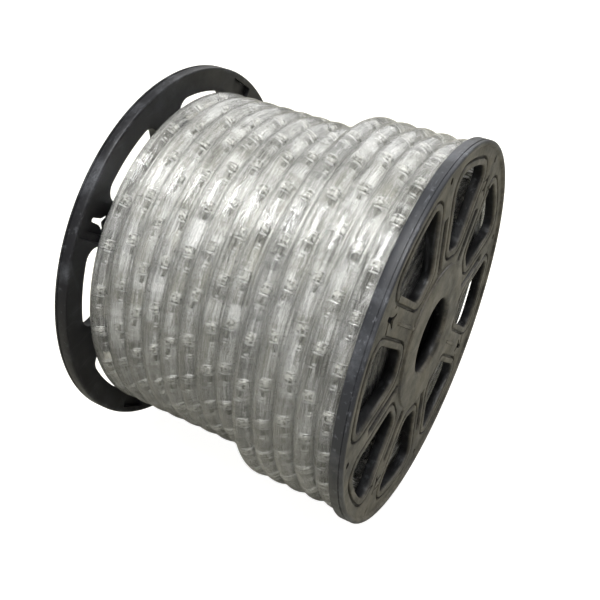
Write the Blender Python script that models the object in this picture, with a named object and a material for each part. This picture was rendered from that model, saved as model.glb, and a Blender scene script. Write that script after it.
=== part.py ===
# A reel of clear LED rope light: two moulded plastic flanges on a tube
# barrel, with the rope wound on it in five full layers and part of a sixth.
# Metres, +Z up. The spool's axis lies along X and the reel rests on its rims.
import math

import bmesh
import bpy
from mathutils import Matrix, Vector

# Driving dimensions, all in metres
FLANGE_R = 0.125            # radius of a flange over its rim
REEL_WIDTH = 0.195          # over the outer faces of both flanges
RIM_WIDTH = 0.0085          # a flange's full thickness, at its rim bead
FACE_DEPTH = 0.0070         # inner face to the flush outer face
BEAD_WIDTH = 0.0035         # the raised bead round the rim
RIM_EASE = 0.0008           # easing of the rim's corners
BORE_R = 0.025              # arbor hole
HUB_R = 0.0480              # the raised ring round the arbor hole
HUB_RISE = 0.0014
HUB_EASE = 0.0005
BORE_EASE = 0.0015          # slope at the edge of the arbor hole
GROOVE_DEPTH = 0.0018       # of the grooves and channels in the face
CLEARANCE = 0.0003          # left between pieces that touch

BARREL_R = 0.0525           # outside of the barrel
BARREL_WALL = 0.0030
SPIGOT_WALL = 0.0027        # collar of the flange inside the barrel
SPIGOT_DEPTH = 0.0060

ROPE_D = 0.0130             # the rope light's diameter
FULL_LAYERS = 5
LOW_PITCH = 0.01295         # turn to turn in the last full layer
LOW_GAP = 0.0030            # that layer starts this far off the left flange
TOP_TURNS = 5               # turns of the last, part layer
TOP_PITCH = 0.01315
LAYER_STEP = 0.0113         # from one layer to the next, nested
TOP_STEP = 0.0107
VALLEY_DEPTH = 0.0046       # between two turns that touch
SHOULDER = 0.0048           # a turn's side points, off its middle
SHOULDER_DROP = 0.0021
END_DEPTH = 0.0032          # between two layers at the ends
END_FLAT = 0.0030           # half the flat that stands for a turn's side

PETALS = 8
PETAL_IN_R = 0.0580         # window's inner and outer radius
PETAL_OUT_R = 0.1095
SPOKE_HALF_SQUARE = 0.0122  # half width of the upright and level spokes
SPOKE_HALF_SLANT = 0.0142   # half width of the slanting spokes
PETAL_CORNER = 0.0085
LIP_WIDTH = 0.0042          # lip round each window
LIP_GROOVE = 0.0015
LEFT_TURNED = 2.5           # degrees that the left flange sits turned by
CHANNEL_HALF = 0.0026       # slot down an upright or level spoke
CHANNEL_IN_R = 0.0505
CHANNEL_OUT_R = 0.0900
RIDGE_HALF = 0.0010         # thin ridge along a slanting spoke
RIDGE_RISE = 0.0011
RIDGE_IN_R = 0.0472
RIDGE_OUT_R = 0.0862
STAR_R = 0.0985             # place of the three-armed holes
STAR_REACH = 0.0078
STAR_WAIST = 0.0022
HOLLOW_HALF = 0.0122        # a slanting spoke is hollow on its inner side
HOLLOW_IN_R = 0.0830
HOLLOW_OUT_R = 0.1205
HOLLOW_DEPTH = 0.0034
WELL_HALF = 0.0076          # deeper round its three-armed hole
WELL_IN_R = 0.0860
WELL_OUT_R = 0.1110
WELL_DEPTH = 0.0058
DIMPLE_R = 0.1155           # small blind mark near the rim
DIMPLE_HALF = 0.0019
DIMPLE_DEPTH = 0.0022

FLANGE_SIDES = 48
WINDING_SIDES = 24
SMOOTH_ANGLE = 30           # degrees, faces that meet flatter are shaded smooth
OVERCUT = 0.0020            # how far a cutter stands out past the face it cuts
EDGE_STEP = 0.0008          # what the part layer's edge keeps off the turns under it

AXIS_Z = FLANGE_R
INNER_X = REEL_WIDTH / 2 - RIM_WIDTH


def clear_scene():
    """Remove what the file starts with."""
    for obj in list(bpy.data.objects):
        bpy.data.objects.remove(obj)


def material(name, colour, roughness, transmission=0.0):
    """One Principled material for one piece."""
    mat = bpy.data.materials.new(name)
    mat.use_nodes = True
    shader = mat.node_tree.nodes["Principled BSDF"]
    shader.inputs["Base Color"].default_value = colour
    shader.inputs["Roughness"].default_value = roughness
    shader.inputs["Transmission Weight"].default_value = transmission
    mat.diffuse_color = colour
    return mat


def new_object(name, bm, mat):
    """Link a finished mesh as a named object."""
    mesh = bpy.data.meshes.new(name)
    bm.to_mesh(mesh)
    bm.free()
    mesh.materials.append(mat)
    obj = bpy.data.objects.new(name, mesh)
    bpy.context.scene.collection.objects.link(obj)
    return obj


def turned(profile, sides):
    """Turn a closed profile of (radius, x) about the spool's axis.

    The ring's flats, not its corners, lie at the stated radius, so the
    reel rests on a flat and the box over it is the true diameter.
    """
    bm = bmesh.new()
    grow = 1 / math.cos(math.pi / sides)
    rings = []
    for radius, x in profile:
        ring = []
        for i in range(sides):
            angle = 2 * math.pi * (i + 0.5) / sides
            y = radius * grow * math.cos(angle)
            z = radius * grow * math.sin(angle) + AXIS_Z
            ring.append(bm.verts.new((x, y, z)))
        rings.append(ring)
    for a, ring in enumerate(rings):
        following = rings[(a + 1) % len(rings)]
        for i in range(sides):
            j = (i + 1) % sides
            bm.faces.new((ring[i], ring[j], following[j], following[i]))
    bmesh.ops.recalc_face_normals(bm, faces=bm.faces)
    return bm


def petal_outline(index, grow, turned_by):
    """Outline of one window in the flange's plane, as (y, z) points.

    A window is what two spokes of even width leave between two circles,
    with rounded corners. grow moves the whole outline outward, and
    turned_by turns it with the flange.
    """
    round_r = PETAL_CORNER
    start = math.radians(45 * index) + turned_by
    halves = [SPOKE_HALF_SQUARE, SPOKE_HALF_SLANT]
    if index % 2:
        halves.reverse()
    inner = PETAL_IN_R + round_r
    outer = PETAL_OUT_R - round_r
    low = Vector((math.cos(start), math.sin(start)))
    low_side = Vector((-low.y, low.x))
    end = start + math.radians(45)
    high = Vector((math.cos(end), math.sin(end)))
    high_side = Vector((high.y, -high.x))

    def corner(along, side, half, radius):
        off = half + round_r
        return along * math.sqrt(radius * radius - off * off) + side * off

    corners = [
        (corner(low, low_side, halves[0], inner), -low_side, "in"),
        (corner(low, low_side, halves[0], outer), -low_side, "out"),
        (corner(high, high_side, halves[1], outer), -high_side, "out"),
        (corner(high, high_side, halves[1], inner), -high_side, "in"),
    ]
    points = []
    for number, (centre, side, kind) in enumerate(corners):
        radial = centre.normalized()
        if kind == "in":
            radial = -radial
        first, last = (radial, side) if number in (0, 2) else (side, radial)
        steps = 4
        swing = first.angle_signed(last)
        for k in range(steps + 1):
            turn = Matrix.Rotation(-swing * k / steps, 2)
            points.append(centre + turn @ first * (round_r + grow))
        if number == 1:
            a = math.atan2(points[-1].y, points[-1].x)
            nxt = corners[2][0]
            b = math.atan2(nxt.y, nxt.x)
            if b < a:
                b += 2 * math.pi
            for k in range(1, 4):
                c = a + (b - a) * k / 4
                spot = Vector((math.cos(c), math.sin(c)))
                points.append(spot * (PETAL_OUT_R + grow))
    return points


def add_prism(bm, outline, x_low, x_high):
    """Close an outline of (y, z) points into a prism along X."""
    bottom = [bm.verts.new((x_low, p[0], p[1] + AXIS_Z)) for p in outline]
    top = [bm.verts.new((x_high, p[0], p[1] + AXIS_Z)) for p in outline]
    bm.faces.new(bottom)
    bm.faces.new(top)
    count = len(outline)
    for i in range(count):
        j = (i + 1) % count
        bm.faces.new((bottom[i], bottom[j], top[j], top[i]))


def add_ring_prism(bm, outer, inner, x_low, x_high):
    """Close the space between two like outlines into a ring prism."""
    loops = []
    for outline, x in ((outer, x_low), (outer, x_high), (inner, x_high), (inner, x_low)):
        loops.append([bm.verts.new((x, p[0], p[1] + AXIS_Z)) for p in outline])
    count = len(outer)
    for a in range(4):
        one = loops[a]
        two = loops[(a + 1) % 4]
        for i in range(count):
            j = (i + 1) % count
            bm.faces.new((one[i], one[j], two[j], two[i]))


def spoke_box(angle, r_in, r_out, half):
    """Four corners of a bar lying along a spoke."""
    along = Vector((math.cos(angle), math.sin(angle)))
    side = Vector((-along.y, along.x))
    return [
        along * r_in - side * half,
        along * r_out - side * half,
        along * r_out + side * half,
        along * r_in + side * half,
    ]


def star_outline(angle):
    """A three-armed hole on a slanting spoke."""
    centre = Vector((math.cos(angle), math.sin(angle))) * STAR_R
    points = []
    for k in range(3):
        arm = angle + k * 2 * math.pi / 3
        for turn in (-0.16, 0.16):
            spot = Vector((math.cos(arm + turn), math.sin(arm + turn)))
            points.append(centre + spot * STAR_REACH)
        waist = arm + math.pi / 3
        spot = Vector((math.cos(waist), math.sin(waist)))
        points.append(centre + spot * STAR_WAIST)
    return points


def apply_boolean(target, tool, operation):
    """Apply one exact Boolean and drop its tool."""
    tool.hide_render = True
    tool.display_type = "WIRE"
    mod = target.modifiers.new(operation.lower(), "BOOLEAN")
    mod.operation = operation
    mod.solver = "EXACT"
    mod.object = tool
    bpy.context.view_layer.update()
    depsgraph = bpy.context.evaluated_depsgraph_get()
    mesh = bpy.data.meshes.new_from_object(target.evaluated_get(depsgraph))
    target.modifiers.clear()
    target.data = mesh
    bpy.data.objects.remove(tool)


def make_flange(name, side, turned_by, mat):
    """One moulded flange. side is -1 at the left and +1 at the right."""
    base = side * INNER_X

    def at(depth):
        return base + side * depth

    spigot_r = BARREL_R - BARREL_WALL - CLEARANCE
    profile = [
        (BORE_R, at(0)),
        (spigot_r - SPIGOT_WALL, at(0)),
        (spigot_r - SPIGOT_WALL, at(-SPIGOT_DEPTH)),
        (spigot_r, at(-SPIGOT_DEPTH)),
        (spigot_r, at(0)),
        (FLANGE_R - RIM_EASE, at(0)),
        (FLANGE_R, at(RIM_EASE)),
        (FLANGE_R, at(RIM_WIDTH - RIM_EASE)),
        (FLANGE_R - RIM_EASE, at(RIM_WIDTH)),
        (FLANGE_R - BEAD_WIDTH, at(RIM_WIDTH)),
        (FLANGE_R - BEAD_WIDTH - 0.001, at(FACE_DEPTH)),
        (HUB_R + HUB_EASE, at(FACE_DEPTH)),
        (HUB_R, at(FACE_DEPTH + HUB_RISE)),
        (BORE_R + BORE_EASE, at(FACE_DEPTH + HUB_RISE)),
        (BORE_R, at(FACE_DEPTH + HUB_RISE - BORE_EASE)),
    ]
    flange = new_object(name, turned(profile, FLANGE_SIDES), mat)

    ridges = bmesh.new()
    for k in range(4):
        angle = math.radians(45 + 90 * k) + turned_by
        bar = spoke_box(angle, RIDGE_IN_R, RIDGE_OUT_R, RIDGE_HALF)
        add_prism(ridges, bar, at(FACE_DEPTH - OVERCUT), at(FACE_DEPTH + RIDGE_RISE))
    bmesh.ops.recalc_face_normals(ridges, faces=ridges.faces)
    apply_boolean(flange, new_object(name + "_ridges", ridges, mat), "UNION")

    cuts = bmesh.new()
    floor = at(FACE_DEPTH - GROOVE_DEPTH)
    beyond = at(RIM_WIDTH + OVERCUT)
    for index in range(PETALS):
        window = petal_outline(index, 0, turned_by)
        add_prism(cuts, window, at(-OVERCUT), beyond)
        outer = petal_outline(index, LIP_WIDTH + LIP_GROOVE, turned_by)
        inner = petal_outline(index, LIP_WIDTH, turned_by)
        add_ring_prism(cuts, outer, inner, floor, beyond)
    for k in range(4):
        square = math.radians(90 * k) + turned_by
        channel = spoke_box(square, CHANNEL_IN_R, CHANNEL_OUT_R, CHANNEL_HALF)
        add_prism(cuts, channel, floor, beyond)
        low = DIMPLE_R - DIMPLE_HALF
        dimple = spoke_box(square, low, DIMPLE_R + DIMPLE_HALF, DIMPLE_HALF)
        add_prism(cuts, dimple, at(FACE_DEPTH - DIMPLE_DEPTH), beyond)
    bmesh.ops.recalc_face_normals(cuts, faces=cuts.faces)
    apply_boolean(flange, new_object(name + "_cuts", cuts, mat), "DIFFERENCE")

    hollows = bmesh.new()
    wells = bmesh.new()
    stars = bmesh.new()
    for k in range(4):
        slant = math.radians(45 + 90 * k) + turned_by
        hollow = spoke_box(slant, HOLLOW_IN_R, HOLLOW_OUT_R, HOLLOW_HALF)
        add_prism(hollows, hollow, at(-OVERCUT), at(HOLLOW_DEPTH))
        well = spoke_box(slant, WELL_IN_R, WELL_OUT_R, WELL_HALF)
        add_prism(wells, well, at(-OVERCUT), at(WELL_DEPTH))
        add_prism(stars, star_outline(slant), at(-OVERCUT), beyond)
    for number, tool in enumerate((hollows, wells, stars)):
        bmesh.ops.recalc_face_normals(tool, faces=tool.faces)
        cutter = new_object(name + "_star_" + str(number), tool, mat)
        apply_boolean(flange, cutter, "DIFFERENCE")
    return flange


def make_barrel(mat):
    """The tube that the rope is wound on."""
    half = INNER_X - CLEARANCE
    inside = BARREL_R - BARREL_WALL
    profile = [
        (inside, -half),
        (BARREL_R, -half),
        (BARREL_R, half),
        (inside, half),
    ]
    return new_object("barrel", turned(profile, FLANGE_SIDES), mat)


def layer_centre(layer):
    """Radius of a layer's rope centres, the first layer being 0."""
    first = BARREL_R + CLEARANCE + ROPE_D / 2
    if layer < FULL_LAYERS:
        return first + LAYER_STEP * layer
    return first + LAYER_STEP * (FULL_LAYERS - 1) + TOP_STEP


def end_scallops(side, layers, last_gap):
    """Rounded edge of each layer at one end, from the bore outward."""
    face = side * (INNER_X - CLEARANCE)
    points = []
    for layer in range(layers):
        centre = layer_centre(layer)
        if layer == layers - 1:
            face = side * (INNER_X - last_gap)
        points.append((centre - END_FLAT, face))
        points.append((centre + END_FLAT, face))
        if layer == layers - 1:
            continue
        middle = (centre + layer_centre(layer + 1)) / 2
        points.append((middle, face - side * END_DEPTH))
    return points


def turn_points(centre, crest):
    """Side, top and side of one turn of rope, seen in section."""
    return [
        (crest - SHOULDER_DROP, centre - SHOULDER),
        (crest, centre),
        (crest - SHOULDER_DROP, centre + SHOULDER),
    ]


def make_winding(mat):
    """The wound rope as one turned solid with its bore.

    Full layers lie under it all. The last full layer shows at the left,
    and a part layer of a few turns lies on it against the right flange.
    """
    bore = BARREL_R + CLEARANCE
    half = INNER_X - CLEARANCE
    rope_r = ROPE_D / 2
    low_crest = layer_centre(FULL_LAYERS - 1) + rope_r
    top_crest = layer_centre(FULL_LAYERS) + rope_r
    low_first = -INNER_X + LOW_GAP + rope_r
    top_first = half - rope_r - TOP_PITCH * (TOP_TURNS - 1)
    top_edge = top_first - rope_r
    low_turns = int((top_edge - low_first + rope_r) / LOW_PITCH)

    profile = [(bore, -half)]
    profile += end_scallops(-1, FULL_LAYERS, LOW_GAP)
    for turn in range(low_turns):
        centre = low_first + LOW_PITCH * turn
        profile += turn_points(centre, low_crest)
        valley = min(centre + LOW_PITCH / 2, top_edge - EDGE_STEP)
        profile.append((low_crest - VALLEY_DEPTH, valley))
    # the next low turn runs in under the part layer's first turn
    under = low_first + LOW_PITCH * low_turns
    reach = min(abs(top_edge - under), 0.9 * rope_r)
    drop = rope_r - math.sqrt(rope_r * rope_r - reach * reach)
    if under - SHOULDER < top_edge - EDGE_STEP:
        profile.append((low_crest - SHOULDER_DROP, under - SHOULDER))
    profile.append((low_crest - drop, top_edge - EDGE_STEP / 4))
    profile.append((top_crest - rope_r, top_edge))
    for turn in range(TOP_TURNS):
        centre = top_first + TOP_PITCH * turn
        profile += turn_points(centre, top_crest)
        if turn < TOP_TURNS - 1:
            profile.append((top_crest - VALLEY_DEPTH, centre + TOP_PITCH / 2))
    profile += reversed(end_scallops(1, FULL_LAYERS + 1, CLEARANCE))
    profile.append((bore, half))
    return new_object("rope_winding", turned(profile, WINDING_SIDES), mat)


def shade_round():
    """Shade the round faces smooth and keep the moulded edges sharp."""
    for mesh in bpy.data.meshes:
        mesh.shade_smooth()
        mesh.set_sharp_from_angle(angle=math.radians(SMOOTH_ANGLE))


def main():
    clear_scene()
    black = material("flange_left_plastic", (0.030, 0.030, 0.033, 1), 0.5)
    brown = material("flange_right_plastic", (0.045, 0.042, 0.038, 1), 0.6)
    tube = material("barrel_plastic", (0.035, 0.035, 0.038, 1), 0.5)
    clear = material("rope_clear_pvc", (0.70, 0.71, 0.68, 1), 0.25, 0.3)
    make_flange("flange_left", -1, math.radians(LEFT_TURNED), black)
    make_flange("flange_right", 1, 0.0, brown)
    make_barrel(tube)
    make_winding(clear)
    shade_round()


main()
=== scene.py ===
"""Looks for a reel of clear LED rope light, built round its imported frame.

Metres, +Z up, the spool's axis along X. Angles round the spool are counted
from straight up toward -Y, the side that faces the camera.
"""
import math

import bmesh
import bpy
import numpy as np
from bpy.props import FloatProperty, FloatVectorProperty, IntProperty, PointerProperty
from bpy.types import Operator, Panel, PropertyGroup
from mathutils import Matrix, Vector


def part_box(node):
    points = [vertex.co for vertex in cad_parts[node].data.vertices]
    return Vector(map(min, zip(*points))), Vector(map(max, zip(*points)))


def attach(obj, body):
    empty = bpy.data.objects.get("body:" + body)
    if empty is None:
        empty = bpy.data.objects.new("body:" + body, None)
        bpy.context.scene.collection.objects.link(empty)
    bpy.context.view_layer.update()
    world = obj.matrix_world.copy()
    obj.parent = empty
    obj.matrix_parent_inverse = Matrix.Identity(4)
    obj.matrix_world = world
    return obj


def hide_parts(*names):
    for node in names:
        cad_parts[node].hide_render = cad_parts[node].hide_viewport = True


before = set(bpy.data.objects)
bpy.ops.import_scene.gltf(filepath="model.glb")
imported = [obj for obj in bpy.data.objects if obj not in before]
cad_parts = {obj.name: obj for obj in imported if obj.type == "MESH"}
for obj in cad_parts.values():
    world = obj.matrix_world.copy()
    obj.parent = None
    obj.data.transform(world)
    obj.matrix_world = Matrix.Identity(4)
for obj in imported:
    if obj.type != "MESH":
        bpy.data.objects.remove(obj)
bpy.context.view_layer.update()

bl_info = {
    "name": "Rope light reel",
    "version": (1, 0, 0),
    "blender": (4, 5, 0),
    "location": "View3D > Sidebar > Reel",
    "description": "Builds the spool, the wound clear rope and its lamps",
    "category": "Object",
}

TAU = 2 * math.pi
MM = 0.001
RIM_WIDTH = 0.0085
INNER_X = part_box("flange_right")[1][0] - RIM_WIDTH     # Inner face of a flange
AXIS_Z = 0.125
HUB_RISE = 0.0014
BARREL_WALL = 0.0030
EDGE_ANGLE = 38          # Edges sharper than this, in degrees, show as edges
NEAR = 5e-6              # Points nearer than this are one
GAP = 0.0003             # Play between barrel, rope and flanges
ROPE_R = 0.0065          # Half the room that one turn takes
LOW_GAP = 0.0030         # Left flange to the first turn of the last full layer
LAYERS = 5               # Full layers of turns, the part layer lying on them
BEND_R = 0.105           # Mean radius that straight parts in the rope are bent to
UNDER_SHORT = 0.0067     # The turns beneath stop so far inside the end turns' middle
UNDER_ROUND = 6.2        # Length once round the turns beneath, in decimetres
WIRE_R = 0.00048         # Radius of a conductor
LINK_R = 0.00022         # Radius of a link wire
WIRE_ASIDE = 0.0030      # Each conductor from the rope's middle
STAR_R = 0.0985
# Arms of the three-armed hole: direction, reach, and direction of the waist after it
STAR_ARMS = ((0.0, 0.0087, math.radians(67.5)), (math.radians(135), 0.0064, math.pi),
             (math.radians(225), 0.0064, math.radians(292.5)))


# Settings
def length(name, description, default):
    """A length among the settings, in metres."""
    return FloatProperty(name=name, description=description, default=default,
                         unit="LENGTH", subtype="DISTANCE")


def tint(name, description, default):
    """A colour among the settings."""
    return FloatVectorProperty(name=name, description=description, default=default,
                               subtype="COLOR", size=3, min=0, max=1)


class SpoolSizes(PropertyGroup):
    """Sizes of the spool's flanges and barrel."""

    radius: length("Flange radius", "Over the rim", 0.125)
    rim: length("Rim width", "Thickness of a flange at its bead", RIM_WIDTH)
    face: length("Face depth", "Inner face to the flush outer face", 0.0070)
    bore: length("Arbor radius", "Radius of the hole through the spool", 0.025)
    hub: length("Hub radius", "Radius of the raised hub face", 0.048)
    window_in: length("Window inner radius", "Where each window begins", 0.058)
    window_out: length("Window outer radius", "Where each window ends", 0.1095)
    lip: length("Lip width", "Raised edge round each window", 0.0042)
    barrel: length("Barrel radius", "Outside of the barrel", 0.0525)
    left_turned: FloatProperty(
        name="Left flange turned", description="How far the left flange sits turned",
        default=math.radians(2.5), subtype="ANGLE")


class RopeSizes(PropertyGroup):
    """Sizes of the rope and how it is wound."""

    diameter: length("Rope diameter", "Outside of the clear rope", 0.0129)
    layer_step: length("Layer step", "From one layer of turns to the next", 0.0113)
    top_step: length("Last layer step", "Rise of the part layer", 0.0107)
    low_pitch: length("Low pitch", "Turn to turn in the last full layer", 0.01295)
    top_pitch: length("Top pitch", "Turn to turn in the part layer", 0.01315)
    lamp_spacing: length("Lamp spacing", "Lamp to lamp along the rope", 0.0278)
    low_turns: IntProperty(
        name="Low turns", description="Turns that show of the last full layer",
        default=9, min=1)
    top_turns: IntProperty(
        name="Top turns", description="Turns of the part layer", default=5, min=1)


class Finishes(PropertyGroup):
    """Colours of the finishes."""

    clear: tint("Clear rope", "Tint of the clear plastic", (0.97, 0.973, 0.963))
    under: tint("Turns beneath", "Grey of the turns under the outer ones",
                (0.200, 0.196, 0.162))
    left: tint("Left flange", "Moulded plastic of the left flange, also the clean "
               "plastic inside the right one's windows", (0.0055, 0.0055, 0.0062))
    left_rim: tint("Left rim", "The left flange's rim, rubbed paler",
                   (0.014, 0.014, 0.016))
    left_dust: tint("Left dust", "What lies on the left flange", (0.012, 0.012, 0.013))
    right: tint("Right flange", "Moulded plastic of the right flange",
                (0.036, 0.033, 0.027))
    right_rim: tint("Right rim", "The right flange's rim, rubbed paler",
                    (0.034, 0.036, 0.041))
    right_dust: tint("Right dust", "What lies on the right flange",
                     (0.185, 0.168, 0.132))
    barrel_dust: tint("Barrel dust", "What lies inside the barrel", (0.05, 0.05, 0.05))
    scuff: tint("Scuffs", "Pale rubbed marks on the plastic", (0.20, 0.21, 0.23))
    metal: tint("Lamp legs", "Pale metal of the lamp legs and links", (0.76, 0.76, 0.73))
    wire: tint("Tinned wire", "Duller metal of the two conductors", (0.52, 0.52, 0.49))


# Meshes
def on_spool(x, radius, angle):
    """Points of cylinder coordinates: x along the axis, then radius from it
    and angle from straight up toward -Y."""
    x, radius, angle = np.broadcast_arrays(x, radius, angle)
    return np.stack(
        [x, -radius * np.sin(angle), AXIS_Z + radius * np.cos(angle)], axis=-1)


def grid_faces(rows, cols, wrap_rows=False, wrap_cols=False):
    """Quads of a grid of rows by cols points, numbered row by row."""
    last_row = rows if wrap_rows else rows - 1
    last_col = cols if wrap_cols else cols - 1
    i, j = np.meshgrid(np.arange(last_row), np.arange(last_col), indexing="ij")
    k, m = (i + 1) % rows, (j + 1) % cols
    quads = np.stack([i * cols + j, i * cols + m, k * cols + m, k * cols + j], -1)
    return quads.reshape(-1, 4)


def new_piece(name, points, faces, mat, uv=None, weld=0.0, sharp=None):
    """Make a mesh object at the origin from points and quads. uv holds one
    pair for each corner of each face. weld merges points that near."""
    points = np.asarray(points, dtype=np.float64).reshape(-1, 3)
    mesh = bpy.data.meshes.new(name)
    mesh.from_pydata(points.tolist(), [], faces.tolist())
    if uv is not None:
        layer = mesh.uv_layers.new(name="Along")
        layer.data.foreach_set("uv", np.asarray(uv, dtype=np.float32).ravel())
    mesh.materials.append(mat)
    obj = bpy.data.objects.new(name, mesh)
    bpy.context.scene.collection.objects.link(obj)
    if weld:
        bm = bmesh.new()
        bm.from_mesh(mesh)
        bmesh.ops.remove_doubles(bm, verts=bm.verts, dist=weld)
        bmesh.ops.dissolve_degenerate(bm, dist=weld, edges=bm.edges)
        bmesh.ops.recalc_face_normals(bm, faces=bm.faces)
        bm.to_mesh(mesh)
        bm.free()
    mesh.shade_smooth()
    if sharp is not None:
        mesh.set_sharp_from_angle(angle=math.radians(sharp))
    return obj


def join_meshes(parts):
    """Stack several (points, faces) pairs into one."""
    points, faces, start = [], [], 0
    for p, f in parts:
        p = np.asarray(p).reshape(-1, 3)
        points.append(p)
        faces.append(f + start)
        start += len(p)
    return np.concatenate(points), np.concatenate(faces)


def revolve(profile, angles):
    """Surface of a closed profile of (radius, x) turned about the spool's
    axis: point(i, j) = profile i carried to angle j."""
    profile = np.asarray(profile)
    return on_spool(profile[:, 1:2], profile[:, 0:1], np.asarray(angles)[None, :])


def outward(points, faces):
    """Flip a closed shell whose signed volume comes out negative. The volume
    is the sum of a . (b x c) / 6 over its triangles."""
    a, b, c, d = (points[faces[:, k]] for k in range(4))
    volume = np.einsum("ij,ij->i", a, np.cross(b, c)).sum()
    volume += np.einsum("ij,ij->i", a, np.cross(c, d)).sum()
    return faces[:, ::-1] if volume < 0 else faces


# Materials
def node(tree, kind, **settings):
    """Add a node and set its properties."""
    made = tree.nodes.new(kind)
    for key, value in settings.items():
        setattr(made, key, value)
    return made


def principled(name, colour, roughness, **sockets):
    """A material with one Principled shader and its plain numbers."""
    mat = bpy.data.materials.new(name)
    mat.use_nodes = True
    shader = mat.node_tree.nodes["Principled BSDF"]
    shader.inputs["Base Color"].default_value = (*colour, 1)
    shader.inputs["Roughness"].default_value = roughness
    for key, value in sockets.items():
        shader.inputs[key.replace("_", " ")].default_value = value
    mat.diffuse_color = (*colour, 1)
    return mat, mat.node_tree, shader


def plug(tree, shader, **sockets):
    """Link each socket to the shader's input of that name."""
    for key, source in sockets.items():
        tree.links.new(source, shader.inputs[key.replace("_", " ")])


def object_place(tree):
    """The piece's own coordinates, in metres."""
    return node(tree, "ShaderNodeTexCoord").outputs["Object"]


def along_rope(tree):
    """The coordinate along the rope, in decimetres, and round it, in turns."""
    return node(tree, "ShaderNodeUVMap", uv_map="Along").outputs["UV"]


def part_of(tree, where, letter):
    """One of the three numbers of a coordinate."""
    axes = node(tree, "ShaderNodeSeparateXYZ")
    tree.links.new(where, axes.inputs["Vector"])
    return axes.outputs[letter]


def add_bump(tree, shader, height, strength, distance):
    """Bend the shader's normal by a height."""
    bump = node(tree, "ShaderNodeBump")
    bump.inputs["Strength"].default_value = strength
    bump.inputs["Distance"].default_value = distance
    tree.links.new(height, bump.inputs["Height"])
    tree.links.new(bump.outputs["Normal"], shader.inputs["Normal"])


def start_group(name, amounts, results):
    """Begin an effect group that takes a vector and some amounts. Returns its
    tree, what enters it and what leaves it."""
    tree = bpy.data.node_groups.new(name, "ShaderNodeTree")
    face = tree.interface
    face.new_socket("Vector", in_out="INPUT", socket_type="NodeSocketVector")
    for label in amounts:
        face.new_socket(label, in_out="INPUT", socket_type="NodeSocketFloat")
    for label in results:
        face.new_socket(label, in_out="OUTPUT", socket_type="NodeSocketFloat")
    enter, leave = node(tree, "NodeGroupInput"), node(tree, "NodeGroupOutput")
    return tree, enter.outputs, leave.inputs


def use_group(tree, group, where):
    """Place an effect group on a coordinate."""
    made = node(tree, "ShaderNodeGroup", node_tree=group)
    tree.links.new(where, made.inputs["Vector"])
    return made


def math_node(tree, operation, a, b, clamp=False):
    """One Math node fed by sockets or numbers."""
    made = node(tree, "ShaderNodeMath", operation=operation, use_clamp=clamp)
    for slot, value in enumerate((a, b)):
        if isinstance(value, (int, float)):
            made.inputs[slot].default_value = value
        else:
            tree.links.new(value, made.inputs[slot])
    return made.outputs[0]


def ramp(tree, source, low, high, to_low=0.0, to_high=1.0):
    """Map Range from low..high to to_low..to_high, clamped."""
    made = node(tree, "ShaderNodeMapRange", clamp=True)
    tree.links.new(source, made.inputs["Value"])
    for key, value in (("From Min", low), ("From Max", high),
                       ("To Min", to_low), ("To Max", to_high)):
        made.inputs[key].default_value = value
    return made.outputs["Result"]


def noise(tree, vector, scale, detail=3.0, rough=0.5, squash=(1, 1, 1)):
    """Noise on a coordinate, stretched by squash."""
    mapping = node(tree, "ShaderNodeMapping")
    tree.links.new(vector, mapping.inputs["Vector"])
    mapping.inputs["Scale"].default_value = squash
    made = node(tree, "ShaderNodeTexNoise")
    tree.links.new(mapping.outputs["Vector"], made.inputs["Vector"])
    made.inputs["Scale"].default_value = scale
    made.inputs["Detail"].default_value = detail
    made.inputs["Roughness"].default_value = rough
    return made.outputs["Fac"]


def mix_colour(tree, factor, a, b):
    """Mix two colours, each a socket or a tuple."""
    made = node(tree, "ShaderNodeMix", data_type="RGBA")
    tree.links.new(factor, made.inputs["Factor"])
    for key, value in (("A", a), ("B", b)):
        slot = [s for s in made.inputs if s.name == key and s.type == "RGBA"][0]
        if isinstance(value, tuple):
            slot.default_value = (*value, 1)
        else:
            tree.links.new(value, slot)
    return [s for s in made.outputs if s.type == "RGBA"][0]


def moulded_wear_group():
    """Effect group: what handling does to moulded plastic. Long scratches,
    rubbed patches and dust, from a coordinate in metres."""
    name = "Moulded wear"
    if name in bpy.data.node_groups:
        return bpy.data.node_groups[name]
    tree, enter, leave = start_group(
        name, ("Scratches",), ("Rub", "Roughness", "Height"))
    vector = enter["Vector"]
    patches = ramp(tree, noise(tree, vector, 34, 4.0, 0.6), 0.52, 0.72)
    grain = noise(tree, vector, 900, 2.0, 0.6)
    fine = noise(tree, vector, 260, 3.0, 0.7, (1, 0.12, 1))
    cross = noise(tree, vector, 210, 3.0, 0.7, (1, 1, 0.10))
    lines = math_node(
        tree, "MAXIMUM", ramp(tree, fine, 0.60, 0.70), ramp(tree, cross, 0.62, 0.70))
    lines = math_node(tree, "MULTIPLY", lines, enter["Scratches"])
    # In this group the mask is dust and grime alone.
    grime_and_shade = math_node(tree, "MULTIPLY", patches, grain)
    rub = math_node(tree, "ADD", math_node(tree, "MULTIPLY", lines, 0.6), grime_and_shade, True)
    tree.links.new(rub, leave["Rub"])
    rough = ramp(tree, noise(tree, vector, 60, 4.0, 0.6), 0.35, 0.7, 0.34, 0.56)
    rough = math_node(tree, "ADD", rough, math_node(tree, "MULTIPLY", rub, 0.2))
    tree.links.new(rough, leave["Roughness"])
    height = math_node(tree, "SUBTRACT", math_node(tree, "MULTIPLY", grain, 0.5), lines)
    tree.links.new(height, leave["Height"])
    return tree


def spool_radius(tree, where):
    """Distance from the spool's axis: the root of y * y + (z - axis) ** 2."""
    y = part_of(tree, where, "Y")
    z = math_node(tree, "SUBTRACT", part_of(tree, where, "Z"), AXIS_Z)
    squares = math_node(tree, "ADD", math_node(tree, "MULTIPLY", y, y),
                        math_node(tree, "MULTIPLY", z, z))
    return math_node(tree, "POWER", squares, 0.5)


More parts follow.
